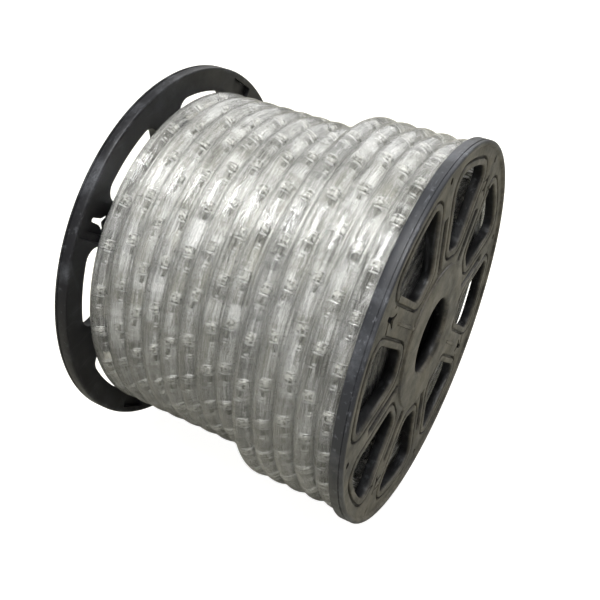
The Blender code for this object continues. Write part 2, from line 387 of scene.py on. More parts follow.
def plastic(name, colour, scuff, scratches, rub_share, dust, rim=None, inside=None):
    """Moulded spool plastic: dark body colour, dust lying on it in patches,
    rubbed marks and grain. The rim is rubbed paler than the faces, and what
    lies deeper than the outer face can take a colour of its own instead."""
    mat, tree, shader = principled(name, colour, 0.45, Specular_IOR_Level=0.38)
    where = object_place(tree)
    wear = use_group(tree, moulded_wear_group(), where)
    wear.inputs["Scratches"].default_value = scratches
    tone = ramp(tree, noise(tree, where, 14, 3.0, 0.5), 0.35, 0.68)
    lighter = tuple(min(1.0, c * 1.9 + 0.006) for c in colour)
    body = mix_colour(tree, tone, colour, lighter)
    film = ramp(tree, noise(tree, where, 55, 6.0, 0.74), 0.40, 0.62, 0.0, 0.85)
    body = mix_colour(tree, film, body, dust)
    # Deeper than the outer face, the given colour takes the place of body and dust.
    if inside is not None:
        depth = math_node(tree, "ABSOLUTE", part_of(tree, where, "X"), 0.0)
        outer = ramp(tree, depth, INNER_X + 0.0050, INNER_X + 0.0066)
        body = mix_colour(tree, outer, inside, body)
    share = math_node(tree, "MULTIPLY", wear.outputs["Rub"], rub_share, True)
    if rim is not None:
        on_rim = ramp(tree, spool_radius(tree, where), 0.1222, 0.1238)
        body = mix_colour(tree, on_rim, body, rim)
        more = math_node(tree, "MULTIPLY", on_rim, 1.6)
        share = math_node(tree, "MULTIPLY", share, math_node(tree, "ADD", more, 1.0), True)
    plug(tree, shader, Base_Color=mix_colour(tree, share, body, scuff),
         Roughness=wear.outputs["Roughness"])
    add_bump(tree, shader, wear.outputs["Height"], 0.25, 0.0004)
    return mat


def drawn_lines_group():
    """Effect group: the fine lengthwise lines of an extruded rope. The
    coordinate runs along the rope in x and round it in y."""
    name = "Drawn lines"
    if name in bpy.data.node_groups:
        return bpy.data.node_groups[name]
    tree, enter, leave = start_group(name, (), ("Lines", "Waves", "Scores"))
    vector = enter["Vector"]
    lines = noise(tree, vector, 1.0, 4.0, 0.72, (3.0, 26, 1))
    tree.links.new(lines, leave["Lines"])
    waves = noise(tree, vector, 1.0, 2.0, 0.5, (10, 4, 1))
    tree.links.new(waves, leave["Waves"])
    # Scores: fine marks along the rope, used as relief and as the mask of painted highlight
    # streaks.
    scores = noise(tree, vector, 1.0, 2.0, 0.55, (2.4, 34, 1))
    patches = noise(tree, vector, 1.0, 2.0, 0.5, (8, 4, 1))
    scores = math_node(tree, "MULTIPLY", ramp(tree, scores, 0.51, 0.54),
                       ramp(tree, patches, 0.34, 0.50))
    tree.links.new(scores, leave["Scores"])
    return tree


def clear_rope_material(name, colour):
    """Clear soft PVC, faintly tinted, with the drawn lines and fine scores
    along it. The scores are also painted white into its colour as highlight
    streaks. Round the rope the share is 0 or 1 on its crest, 0.25 and 0.75 on
    its flanks and 0.5 at the bottom. The flanks are kept the clearest."""
    mat, tree, shader = principled(name, colour, 0.06, IOR=1.53, Transmission_Weight=0.96)
    where = along_rope(tree)
    drawn = use_group(tree, drawn_lines_group(), where).outputs
    usual = tuple(c * 0.82 for c in colour)
    body = mix_colour(tree, ramp(tree, drawn["Lines"], 0.43, 0.51),
                      tuple(c * 0.44 for c in colour), usual)
    off = math_node(tree, "SUBTRACT", part_of(tree, where, "Y"), 0.5)
    off = math_node(tree, "ABSOLUTE", off, 0.0)
    body = mix_colour(tree, ramp(tree, off, 0.33, 0.42, 0.0, 0.3), body, usual)
    flank = math_node(tree, "MULTIPLY", ramp(tree, off, 0.30, 0.40, 0.75, 0.0),
                      ramp(tree, off, 0.10, 0.18))
    body = mix_colour(tree, flank, body, colour)
    # Painted highlight: white streaks in the colour where the scores lie.
    body = mix_colour(tree, drawn["Scores"], body, (1.0, 1.0, 1.0))
    plug(tree, shader, Base_Color=body,
         Roughness=ramp(tree, drawn["Lines"], 0.3, 0.75, 0.03, 0.13))
    height = math_node(tree, "ADD", drawn["Lines"],
                       math_node(tree, "MULTIPLY", drawn["Waves"], 0.9))
    height = math_node(tree, "ADD", height,
                       math_node(tree, "MULTIPLY", drawn["Scores"], 0.5))
    add_bump(tree, shader, height, 0.5, 0.0006)
    return mat


def under_turns_material(colour):
    """The turns beneath: pale grey with the lines of rope and wire in it,
    and dark at both ends, where the flanges keep the light off."""
    mat, tree, shader = principled("Turns beneath", colour, 0.35)
    drawn = use_group(tree, drawn_lines_group(), along_rope(tree)).outputs
    dark = tuple(c * 0.38 for c in colour)
    pale = tuple(min(1.0, c * 1.6 + 0.03) for c in colour)
    body = mix_colour(tree, ramp(tree, drawn["Lines"], 0.43, 0.55), dark, pale)
    # Painted highlight: near-white streaks in the colour where the scores lie.
    body = mix_colour(tree, drawn["Scores"], body, (0.95, 0.95, 0.93))
    place = object_place(tree)
    end = math_node(tree, "ABSOLUTE", part_of(tree, place, "X"), 0.0)
    deep = ramp(tree, spool_radius(tree, place), 0.0915, 0.0935, 1.0, 0.0)
    end = math_node(tree, "MULTIPLY", ramp(tree, end, 0.0738, 0.0752), deep)
    plug(tree, shader, Base_Color=mix_colour(tree, end, body, (0.012, 0.012, 0.012)))
    add_bump(tree, shader, drawn["Lines"], 0.5, 0.0008)
    return mat


def metal_material(name, colour, roughness, metallic):
    """Metal of the wires and lamp legs, dulled by the plastic round it."""
    mat, tree, shader = principled(name, colour, roughness, Metallic=metallic)
    grain = noise(tree, object_place(tree), 1400, 2.0, 0.6)
    shade = mix_colour(tree, ramp(tree, grain, 0.35, 0.65),
                       tuple(c * 0.7 for c in colour), colour)
    plug(tree, shader, Base_Color=shade,
         Roughness=ramp(tree, grain, 0.3, 0.7, roughness * 0.7, roughness * 1.6))
    add_bump(tree, shader, grain, 0.4, 0.0002)
    return mat


def lamp_material():
    """Cloudy clear epoxy of the lamps."""
    mat, tree, shader = principled(
        "Lamp epoxy", (0.60, 0.60, 0.54), 0.2, IOR=1.5, Transmission_Weight=0.55)
    cloud = noise(tree, object_place(tree), 520, 3.0, 0.6)
    shade = mix_colour(tree, ramp(tree, cloud, 0.38, 0.62), (0.16, 0.16, 0.13),
                       (0.86, 0.86, 0.80))
    plug(tree, shader, Base_Color=shade, Roughness=ramp(tree, cloud, 0.3, 0.7, 0.12, 0.4))
    return mat


def resistor_material():
    """Dark lacquer of the resistors, uneven."""
    mat, tree, shader = principled("Resistor lacquer", (0.10, 0.10, 0.085), 0.4)
    mottle = noise(tree, object_place(tree), 900, 3.0, 0.6)
    shade = mix_colour(tree, ramp(tree, mottle, 0.4, 0.65), (0.06, 0.06, 0.05),
                       (0.20, 0.20, 0.17))
    plug(tree, shader, Base_Color=shade, Roughness=ramp(tree, mottle, 0.3, 0.7, 0.25, 0.55))
    return mat


# Flanges
# Points along each stretch of a window's loop: sides, corners, outer and inner arc
LOOP_SIDE, LOOP_CORNER, LOOP_OUT, LOOP_IN = 60, 7, 28, 12
# Half widths of the upright and level spokes and of the slanting ones
SQUARE_HALF, SLANT_HALF = 0.0122, 0.0142
CORNER = 0.0085          # Radius of a window's corners
LIP_GROOVE = 0.0015      # Width of the groove round a window's lip
GROOVE_DEPTH = 0.0018    # Depth of that groove and of the spokes' slots
RIDGE_RISE = 0.0011      # Height of the thin ridge on two of the slanting spokes
LINE_DEPTH = 0.0008      # Depth of the short line near the rim
# Bars cut from the inner face: from and to this radius, half width and depth
HOLLOW = (0.0830, 0.1205, 0.0122, 0.0034)
WELL = (0.0860, 0.1110, 0.0076, 0.0058)
# Strokes in the outer face: radius and degrees from the spoke at both ends
STROKES = (((0.1018, -8.0), (0.1006, -3.7)), ((0.1050, -0.5), (0.1012, 4.8)))
STROKE_HALF, STROKE_DEPTH = 0.0009, 0.0006
# Round end of an arm of the three-armed hole: lean in radians, share of its reach
ARM_END = ((-0.34, 0.55), (-0.16, 0.95), (0.0, 1.0), (0.16, 0.95), (0.34, 0.55))
STAR_WAIST = 0.0022
MARK_R, MARK_DEPTH = 0.1155, 0.0022
FLAT_FROM = 19           # First row of a flange's section past the groove, on its outer face


def window_loop(half_low, half_high, r_in, r_out, corner):
    """Loop round a window: two lines parallel to the spokes at 0 and 45
    degrees, two circles about the axis, joined by rounded corners. Returns
    points in the flange's plane, always the same number in the same order."""
    high = math.pi / 4

    def centre(angle, off_side, half, radius):
        off = half + corner
        along = math.sqrt(max(radius * radius - off * off, 0.0))
        side = angle + off_side * math.pi / 2
        return np.array([
            along * math.cos(angle) + off * math.cos(side),
            along * math.sin(angle) + off * math.sin(side)])

    c1 = centre(0.0, 1, half_low, r_in + corner)
    c2 = centre(0.0, 1, half_low, r_out - corner)
    c3 = centre(high, -1, half_high, r_out - corner)
    c4 = centre(high, -1, half_high, r_in + corner)
    a1, a2, a3, a4 = (math.atan2(c[1], c[0]) for c in (c1, c2, c3, c4))

    def arc(middle, radius, start, end, count):
        t = np.linspace(start, end, count, endpoint=False)[:, None]
        return middle + radius * np.concatenate([np.cos(t), np.sin(t)], axis=1)

    def line(p, q, count):
        t = np.linspace(0, 1, count, endpoint=False)[:, None]
        return p + (q - p) * t

    down = np.array([0.0, -1.0]) * corner
    up = np.array([-math.sin(high), math.cos(high)]) * corner
    zero = np.zeros(2)
    return np.concatenate([
        line(c1 + down, c2 + down, LOOP_SIDE),
        arc(c2, corner, -math.pi / 2, a2, LOOP_CORNER),
        arc(zero, r_out, a2, a3, LOOP_OUT),
        arc(c3, corner, a3, high + math.pi / 2, LOOP_CORNER),
        line(c3 + up, c4 + up, LOOP_SIDE),
        arc(c4, corner, high + math.pi / 2, a4 + math.pi, LOOP_CORNER),
        arc(zero, r_in, a4, a1, LOOP_IN),
        arc(c1, corner, a1 + math.pi, 1.5 * math.pi, LOOP_CORNER),
    ])


def smooth(value, low, high):
    """Smooth step from 0 at low to 1 at high."""
    t = np.clip((value - low) / (high - low), 0, 1)
    return t * t * (3 - 2 * t)


def flange_mesh(sizes, side, turned):
    """A flange as one closed shell. Round each window the surface is a grid:
    rows are loops that grow from the window's edge to the middle lines of
    the spokes, and the height of each row is the moulding's section. Hub and
    rim are profiles turned about the axis between those loops."""
    f = sizes.face
    w_in, w_out, lip = sizes.window_in, sizes.window_out, sizes.lip
    r_hub = sizes.hub + 0.0011
    r_rim = sizes.radius - 0.0042

    def grown(d, height, floor_r=0.0):
        r_in = max(w_in - d, floor_r)
        return (SQUARE_HALF - d, SLANT_HALF - d, r_in, w_out + d, CORNER + d, height)

    edge = lip + LIP_GROOVE
    floor = f - GROOVE_DEPTH
    rows = [
        (0, 0, r_hub, r_rim, 0, 0.0),
        (0.004, 0.004, 0.0500, r_rim - 0.0012, 0.004, 0.0),
        grown(0.0030, 0.0),
        grown(0.0006, 0.0),
        grown(0.0002, 0.0002),
        grown(0.0, 0.0007),
        grown(0.0, f * 0.5),
        grown(0.0, f - 0.0009),
        grown(0.0002, f - 0.0003),
        grown(0.0006, f + 0.0001),
        grown(0.0012, f + 0.0002),
        grown(lip - 0.0010, f + 0.0002),
        grown(lip - 0.0004, f),
        grown(lip - 0.0001, f - 0.0006),
        grown(lip + 0.0001, f - 0.0016, 0.0516),
        grown(lip + 0.0005, floor, 0.0513),
        grown(edge - 0.0003, floor, 0.0509),
        grown(edge, f - 0.0014, 0.0506),
        grown(edge + 0.0002, f - 0.0003, 0.0503),
        grown(edge + 0.0006, f, 0.0500),
        (0.0034, 0.0034, 0.0498, w_out + 0.0078, 0.006, f),
        (0.0030, 0.0030, 0.0497, w_out + 0.0081, 0.005, f),
        (0.0026, 0.0026, 0.0496, w_out + 0.0084, 0.004, f),
        (0.0013, 0.0013, 0.0494, w_out + 0.0092, 0.003, f),
        (0.0009, 0.0009, 0.0493, w_out + 0.0096, 0.002, f),
        (0, 0, r_hub, r_rim, 0, f),
    ]
    loops = np.stack([window_loop(*row[:5]) for row in rows])
    heights = np.array([row[5] for row in rows])
    shape = loops.shape[:2]
    angle = np.arctan2(loops[..., 1], loops[..., 0])
    radius = np.hypot(loops[..., 0], loops[..., 1])
    parts = []
    for k in range(8):
        flipped = bool(k % 2)
        around = (math.pi / 4 * (k + 1) - angle) if flipped else (math.pi / 4 * k + angle)
        u = np.broadcast_to(heights[:, None], shape).copy()
        front = np.arange(len(rows))[:, None] >= FLAT_FROM
        for spoke in (k, k + 1):
            off = np.abs(radius * np.sin(around - math.pi / 4 * spoke))
            near = smooth(0.0032 - off, 0.0, 0.0005)
            thin = smooth(0.0013 - off, 0.0, 0.0004)
            ridged = spoke % 4 == 3
            crossed = spoke % 2 == 1 and not ridged
            if ridged:
                span = smooth(radius, 0.0493, 0.0496) * smooth(0.0862 - radius, 0, 0.002)
                u += np.where(front, RIDGE_RISE * thin * span, 0)
            else:
                end = 0.0850 if crossed else 0.0900
                span = smooth(radius, 0.0500, 0.0510) * smooth(end - radius, 0, 0.0015)
                u -= np.where(front, GROOVE_DEPTH * near * span, 0)
            if crossed:
                span = smooth(radius, 0.1165, 0.1175) * smooth(0.1206 - radius, 0, 0.0008)
                u -= np.where(front, LINE_DEPTH * thin * span, 0)
        x = side * (INNER_X + u)
        theta = around + turned
        points = np.stack(
            [x, radius * np.cos(theta), AXIS_Z + radius * np.sin(theta)], axis=-1)
        faces = grid_faces(shape[0], shape[1], wrap_cols=True)
        parts.append((points, faces))

    def ring(profile, per_sector):
        theta = np.arange(8 * per_sector) * (math.pi / 4 / per_sector) + turned
        profile = np.asarray(profile)
        r, u = profile[:, 0:1], profile[:, 1:2]
        points = np.stack(np.broadcast_arrays(
            side * (INNER_X + u), r * np.cos(theta), AXIS_Z + r * np.sin(theta)), axis=-1)
        return points, grid_faces(len(profile), len(theta), wrap_cols=True)

    bore = sizes.bore
    spigot = sizes.barrel - 0.0033
    top = f + HUB_RISE
    hub = [
        (r_hub, f), (sizes.hub + 0.0006, f), (sizes.hub + 0.0003, f + 0.0002),
        (sizes.hub + 0.0001, top - 0.0004), (sizes.hub - 0.0002, top - 0.0001),
        (sizes.hub - 0.0006, top), (0.0400, top), (0.0320, top),
        (bore + 0.0026, top), (bore + 0.0016, top - 0.0002),
        (bore + 0.0006, top - 0.0007), (bore, top - 0.0016),
        (bore, 0.0006), (bore + 0.0003, 0.0001), (bore + 0.0010, 0.0),
        (spigot - 0.0028, 0.0), (spigot - 0.0027, -0.0002),
        (spigot - 0.0027, -0.0056), (spigot - 0.0023, -0.0060),
        (spigot - 0.0004, -0.0060), (spigot, -0.0056), (spigot, -0.0002),
        (r_hub, 0.0),
    ]
    parts.append(ring(hub, LOOP_IN))
    big = sizes.radius
    wide = sizes.rim
    rim = [
        (r_rim, f), (r_rim + 0.0005, f + 0.0001), (r_rim + 0.0008, f + 0.0005),
        (r_rim + 0.0011, wide - 0.0004), (r_rim + 0.0016, wide - 0.0001),
        (r_rim + 0.0022, wide), (big - 0.0010, wide), (big - 0.0004, wide - 0.0002),
        (big - 0.0001, wide - 0.0006), (big, wide - 0.0011),
        (big, wide - 0.0018), (big - 0.0005, wide - 0.0020),
        (big - 0.0005, wide - 0.0025), (big, wide - 0.0027),
        (big, 0.0040), (big, 0.0008), (big - 0.0002, 0.0003),
        (big - 0.0006, 0.0), (big - 0.0020, 0.0), (r_rim, 0.0),
    ]
    parts.append(ring(rim, LOOP_OUT))
    return join_meshes(parts)


def prism(outline, x_low, x_high):
    """Closed prism along X of an outline in the flange's plane."""
    count = len(outline)
    points = []
    for x in (x_low, x_high):
        points.append(np.column_stack(
            [np.full(count, x), outline[:, 0], outline[:, 1] + AXIS_Z]))
    low = list(range(count))
    faces = [low[::-1], [i + count for i in low]]
    faces += [[i, (i + 1) % count, (i + 1) % count + count, i + count] for i in low]
    return np.concatenate(points), faces


def cut_away(target, prisms):
    """Cut prisms out of a piece with one exact Boolean, applied, then merge
    what lies nearer than a few microns and close the slivers left open."""
    mesh = bpy.data.meshes.new("cutter")
    points, faces, start = [], [], 0
    for p, f in prisms:
        points.append(p)
        faces += [[i + start for i in face] for face in f]
        start += len(p)
    mesh.from_pydata(np.concatenate(points).tolist(), [], faces)
    bm = bmesh.new()
    bm.from_mesh(mesh)
    bmesh.ops.recalc_face_normals(bm, faces=bm.faces)
    bm.to_mesh(mesh)
    bm.free()
    tool = bpy.data.objects.new("cutter", mesh)
    bpy.context.scene.collection.objects.link(tool)
    mod = target.modifiers.new("cut", "BOOLEAN")
    mod.operation = "DIFFERENCE"
    mod.solver = "EXACT"
    mod.object = tool
    graph = bpy.context.evaluated_depsgraph_get()
    made = bpy.data.meshes.new_from_object(target.evaluated_get(graph))
    bm = bmesh.new()
    bm.from_mesh(made)
    bmesh.ops.remove_doubles(bm, verts=bm.verts, dist=NEAR)
    bmesh.ops.dissolve_degenerate(bm, dist=NEAR, edges=bm.edges)
    bmesh.ops.holes_fill(bm, edges=bm.edges, sides=4)
    bm.to_mesh(made)
    bm.free()
    target.modifiers.clear()
    old = target.data
    target.data = made
    made.name = target.name
    bpy.data.meshes.remove(old)
    bpy.data.objects.remove(tool)
    bpy.data.meshes.remove(mesh)


def star_cuts(side, turned, depth):
    """Outlines of what is cut into the slanting spokes: the three-armed holes,
    the hollow and the well behind each and the two narrow strokes beside it.
    The small blind marks near the rim lie on the other spokes. Each list is
    cut in one go, so nothing in a list overlaps."""
    blind, wells, stars = [], [], []
    far = INNER_X + 0.012
    near = INNER_X - 0.004

    def span(a, b):
        return (side * a, side * b) if side > 0 else (side * b, side * a)

    def bar(start, end, half):
        along = (end - start) / np.linalg.norm(end - start)
        across = np.array([-along[1], along[0]]) * half
        return np.array([start - across, end - across, end + across, start + across])

    def spot(radius, angle):
        return radius * np.array([math.cos(angle), math.sin(angle)])

    for k in range(4):
        slant = math.pi / 4 + k * math.pi / 2 + turned
        for pile, (start, end, half, deep) in ((blind, HOLLOW), (wells, WELL)):
            outline = bar(spot(start, slant), spot(end, slant), half)
            pile.append(prism(outline, *span(near, INNER_X + deep)))
        for stroke in STROKES:
            ends = [spot(r, slant + math.radians(a)) for r, a in stroke]
            outline = bar(*ends, STROKE_HALF)
            blind.append(prism(outline, *span(INNER_X + depth - STROKE_DEPTH, far)))
        star = []
        for arm, reach, waist in STAR_ARMS:
            star += [(slant + arm + lean, reach * share) for lean, share in ARM_END]
            star.append((slant + waist, STAR_WAIST))
        star = np.array(star)
        star = spot(STAR_R, slant) + star[:, 1:] * np.column_stack(
            [np.cos(star[:, 0]), np.sin(star[:, 0])])
        stars.append(prism(star, *span(near, far)))
        t = np.linspace(0, TAU, 16, endpoint=False)
        oval = spot(MARK_R, k * math.pi / 2 + turned)
        oval = oval + np.column_stack([0.0019 * np.cos(t), 0.0022 * np.sin(t)])
        blind.append(prism(oval, *span(INNER_X + depth - MARK_DEPTH, far)))
    return blind, wells, stars


# Rope
def rope_radius(layer, w):
    """Radius of a layer's rope centres, the first layer being 0."""
    first = w.barrel_outside + GAP + ROPE_R
    if layer < LAYERS:
        return first + w.step * layer
    return first + w.step * (LAYERS - 1) + w.top


class Winding:
    """Plain numbers of the winding, read once from the settings."""

    def __init__(self, scene):
        rope, spool = scene.rope_sizes, scene.spool_sizes
        self.radius = rope.diameter / 2
        self.step = rope.layer_step
        self.top = rope.top_step
        self.low_pitch = rope.low_pitch
        self.top_pitch = rope.top_pitch
        self.spacing = rope.lamp_spacing
        self.low_turns = rope.low_turns
        self.top_turns = rope.top_turns
        self.barrel_outside = spool.barrel
        self.low_first = -INNER_X + LOW_GAP + ROPE_R
        self.end_x = INNER_X - GAP - ROPE_R


# Angles between which a turn steps to the next, and how far ahead a run starts
CROSS_START, CROSS_END, RUN_IN = math.radians(205), math.radians(300), 1.5
# Angle of one lamp in each turn, in degrees, and how far it lies to the side, in mm
LOW_PHASES = (68.5, 64.0, 71.5, 67.0, 61.5, 73.0, 66.0, 62.5, 69.0)
TOP_PHASES = (75.0, 71.5, 68.5, 73.0, 62.2)
SIDE_DRIFT = (0.1, 1.0, 0.6, 0.9, 0.2, 0.1, 0.5, -0.2, 0.0)


def stepped_route(theta, first, pitch, radius, drop):
    """Route of a layer. Each turn keeps its x for most of the way round, and
    steps to the next one between two angles at the back: x = first + pitch *
    (turn + smooth step). At its start the rope rises by drop into its layer."""
    turn = np.floor((theta - CROSS_END) / TAU)
    within = theta - CROSS_END - turn * TAU
    step = smooth(within, CROSS_START - CROSS_END + TAU, TAU)
    x = first + pitch * np.maximum(turn + step, 0)
    rise = smooth(theta, CROSS_END - RUN_IN, CROSS_END + 0.1)
    return x, radius - (1 - rise) * drop


def low_route(w, theta):
    """Route of the last full layer, from the left flange to the right."""
    return stepped_route(theta, w.low_first, w.low_pitch, rope_radius(LAYERS - 1, w),
                         w.step * 1.15)


def top_route(w, theta):
    """Route of the part layer, from the right flange toward the left."""
    return stepped_route(theta, w.end_x, -w.top_pitch, rope_radius(LAYERS, w), w.top * 1.1)


def route_frame(route, w, theta):
    """Centre, tangent, sideways and outward directions along a route, the
    tangent by central difference."""
    def at(t):
        x, r = route(w, t)
        return on_spool(x, r, t)

    h = 1e-4
    centre = at(theta)
    tangent = at(theta + h) - at(theta - h)
    tangent /= np.linalg.norm(tangent, axis=-1, keepdims=True)
    out = np.stack([np.zeros_like(theta), -np.sin(theta), np.cos(theta)], -1)
    out -= tangent * np.einsum("ij,ij->i", out, tangent)[:, None]
    out /= np.linalg.norm(out, axis=-1, keepdims=True)
    sideways = np.cross(out, tangent)
    return centre, tangent, sideways, out


def tube(frames, radius, sides, offset):
    """Points of a tube along a route: centre + offset + radius * (cos a * out
    + sin a * sideways). Also the length along it at each row."""
    centre, _, sideways, out = frames
    middle = centre + offset[0] * sideways + offset[1] * out
    a = np.linspace(0, TAU, sides, endpoint=False)
    ring = (np.cos(a)[None, :, None] * out[:, None, :]
            + np.sin(a)[None, :, None] * sideways[:, None, :])
    points = (middle[:, None, :] + radius * ring).reshape(-1, 3)
    along = np.linalg.norm(np.diff(middle, axis=0), axis=1)
    return points, np.concatenate([[0], np.cumsum(along)])


def tube_uv(faces, rows, sides, length, closed):
    """UV of a tube: length along it in decimetres, and share of the way
    round. The seams keep their own values on each side."""
    row, col = faces // sides, faces % sides
    u = length[np.minimum(row, rows - 1)]
    if closed:
        full = length[-1] + length[1]
        last = (row[:, 0] == rows - 1)[:, None] & (row == 0)
        u = np.where(last, full, u)
    v = col / sides
    wrapped = (col.max(axis=1) == sides - 1)[:, None] & (col == 0)
    v = np.where(wrapped, 1.0, v)
    return np.stack([u * 10, v], axis=-1).reshape(-1, 2)


def end_caps(rows, sides):
    """Fans of quads that close both ends of an open tube flat."""
    half = sides // 2
    k = np.arange(half - 1)
    last = np.stack([k, k + 1, sides - 2 - k, sides - 1 - k], -1)
    return np.concatenate([last[:, ::-1], last + (rows - 1) * sides])


def build_tubes(name, runs, radius, sides, mat):
    """One piece of several tubes. runs holds (frames, offset, closed). Tubes
    that aren't closed get a flat cap at each end."""
    points, faces, uvs, start = [], [], [], 0
    for frames, offset, closed in runs:
        p, length_at = tube(frames, radius, sides, offset)
        rows = len(p) // sides
        f = grid_faces(rows, sides, wrap_rows=closed, wrap_cols=True)
        uv = tube_uv(f, rows, sides, length_at, closed)
        if not closed:
            caps = end_caps(rows, sides)
            f = np.concatenate([f, caps])
            uv = np.concatenate([uv, np.zeros((len(caps) * 4, 2))])
        points.append(p)
        faces.append(f[:, ::-1] + start)
        uvs.append(uv.reshape(-1, 4, 2)[:, ::-1].reshape(-1, 2))
        start += len(p)
    points, faces, uv = (np.concatenate(each) for each in (points, faces, uvs))
    turned = outward(points, faces)
    if turned is not faces:
        uv = uv.reshape(-1, 4, 2)[:, ::-1].reshape(-1, 2)
    return new_piece(name, points, turned, mat, uv, sharp=60)


def ring_frames(x, radius, count):
    """Frames of one closed turn at a fixed x and radius."""
    def ring(_, theta):
        return np.full_like(theta, x), np.full_like(theta, radius)

    return route_frame(ring, None, np.arange(count) * TAU / count)


def end_rings(w, count):
    """Frames of the turns that show at the ends of the lower layers."""
    runs = []
    for layer in range(LAYERS):
        for side in (-1, 1):
            if side > 0 or layer < LAYERS - 1:
                runs.append(ring_frames(side * w.end_x, rope_radius(layer, w), count))
    return runs


def run_angles(w):
    """Angle spans of the two long runs of rope."""
    low = (CROSS_END - RUN_IN, CROSS_END + TAU * w.low_turns + 0.1)
    top = (CROSS_END - RUN_IN, CROSS_START + TAU * w.top_turns)
    return low, top


def box_shape(size, inset):
    """Box with bevelled corners, as points and quads: four loops of eight
    points from bottom to top, the first and last drawn in by the inset."""
    a, b, c = (s / 2 for s in size)
    i = inset
    flat = np.array([[-a + i, -b], [a - i, -b], [a, -b + i], [a, b - i],
                     [a - i, b], [-a + i, b], [-a, b - i], [-a, -b + i]])
    inner = np.sign(flat) * (np.abs(flat) - i * 0.8)
    levels = [(inner, -c), (flat, -c + i), (flat, c - i), (inner, c)]
    points = np.concatenate([np.column_stack([p, np.full(8, z)]) for p, z in levels])
    faces = grid_faces(4, 8, wrap_cols=True)
    caps = np.array([[0, 7, 6, 1], [1, 6, 5, 2], [2, 5, 4, 3]])
    top = caps[:, ::-1] + 24
    return points, np.concatenate([faces, caps, top])


def bar_shape(size):
    """Plain box for the smallest pieces, as points and six quads."""
    signs = np.array([[x, y, z] for z in (-1, 1) for y in (-1, 1) for x in (-1, 1)])
    faces = np.array([[0, 2, 3, 1], [4, 5, 7, 6], [0, 1, 5, 4],
                      [2, 6, 7, 3], [0, 4, 6, 2], [1, 3, 7, 5]])
    return signs * np.array(size) / 2, faces


def scatter(shape, centres, tangent, sideways, out):
    """Copy a small shape to many places: point = centre + x * tangent + y *
    sideways + z * out, for all places at once."""
    points, faces = shape
    placed = (centres[:, None, :]
              + points[None, :, 0:1] * tangent[:, None, :]
              + points[None, :, 1:2] * sideways[:, None, :]
              + points[None, :, 2:3] * out[:, None, :])
    shift = (np.arange(len(centres)) * len(points))[:, None, None]
    return placed.reshape(-1, 3), (faces[None] + shift).reshape(-1, 4)


def link_wires(frames, drifts, rng):
    """Meshes of the link wires: from each lamp to the next in its turn a thin
    wire that follows the turn and is bowed sideways, centre + bow * sin(pi * t)
    * sideways + kink * sin(3 * pi * t) * sideways."""
    steps, sides, end = 9, 4, 0.0026
    faces = np.concatenate([grid_faces(steps, sides, wrap_cols=True), end_caps(steps, sides)])
    parts = []
    for frame_set, drift in zip(frames, drifts):
        centre, tangent, sideways, out = frame_set
        centre = centre + drift[:, None] * sideways
        if len(centre) < 3:
            continue
        a = centre[:-1] + tangent[:-1] * end
        b = centre[1:] - tangent[1:] * end
        t = np.linspace(0, 1, steps)[None, :, None]
        bow = rng.uniform(-0.0011, 0.0011, (len(a), 1, 1))
        kink = rng.uniform(-0.0006, 0.0006, (len(a), 1, 1))
        side = (sideways[:-1] + sideways[1:])[:, None, :] / 2
        up = (out[:-1] + out[1:])[:, None, :]
        up = up / np.linalg.norm(up, axis=-1, keepdims=True)
        sag = np.linalg.norm(b - a, axis=1)[:, None, None] ** 2 / 8 / BEND_R
        line = (a[:, None] * (1 - t) + b[:, None] * t
                + bow * np.sin(math.pi * t) * side
                + kink * np.sin(3 * math.pi * t) * side
                + sag * 4 * t * (1 - t) * up)
        turn = np.linspace(0, TAU, sides, endpoint=False)
        ring = (np.cos(turn)[:, None] * up[:, :, None, :]
                + np.sin(turn)[:, None] * side[:, :, None, :])
        points = line[:, :, None, :] + LINK_R * ring
        shift = (np.arange(len(a)) * steps * sides)[:, None, None]
        parts.append((points.reshape(-1, 3), (faces[None] + shift).reshape(-1, 4)))
    return parts


def lamp_places(w):
    """Where lamps sit: for every turn, angles a lamp spacing apart through
    that turn's own phase. Returns frames and the sideways drift of each."""
    frames, drifts = [], []

    def add(route, theta, drift):
        frames.append(route_frame(route, w, theta))
        drifts.append(np.full(len(theta), drift))

    for route, layer, turns, phases, shifts in (
            (low_route, LAYERS - 1, w.low_turns, LOW_PHASES, SIDE_DRIFT),
            (top_route, LAYERS, w.top_turns, TOP_PHASES, (0.0,))):
        gap = w.spacing / rope_radius(layer, w)
        for turn in range(turns):
            start = math.radians(phases[turn % len(phases)]) + TAU * (turn + 1)
            low, high = CROSS_END + TAU * turn, CROSS_END + TAU * (turn + 1)
            if layer == LAYERS and turn == turns - 1:
                high = CROSS_START + TAU * turns - 0.1
            first = start - math.floor((start - low) / gap) * gap
            theta = first + np.arange(int((high - low) / gap)) * gap
            add(route, theta, shifts[turn % len(shifts)] * MM)
    ends = [(side * w.end_x, rope_radius(layer, w)) for layer in range(LAYERS)
            for side in (-1, 1) if side > 0 or layer < LAYERS - 1]
    for number, (x, radius) in enumerate(ends):
        count = int(TAU * radius / w.spacing)
        theta = number * 1.7 + np.arange(count) * TAU / count
        add(lambda _, t, x=x, r=radius: (np.full_like(t, x), np.full_like(t, r)), theta, 0.0)
    return frames, drifts


# Operators
# The camera: sensor in mm, focal length and picture in pixels, place and aim
SENSOR, FOCAL_PIXELS, PICTURE_PIXELS = 36, 858.16, 600
CAMERA_PLACE, CAMERA_AIM = (0.2125, -0.3776, 0.5010), (-0.3624, 0.6509, -0.6671)


def finish_piece(obj, name):
    """What every piece needs: its body and the node it stands for."""
    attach(obj, "root")
    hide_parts(name)


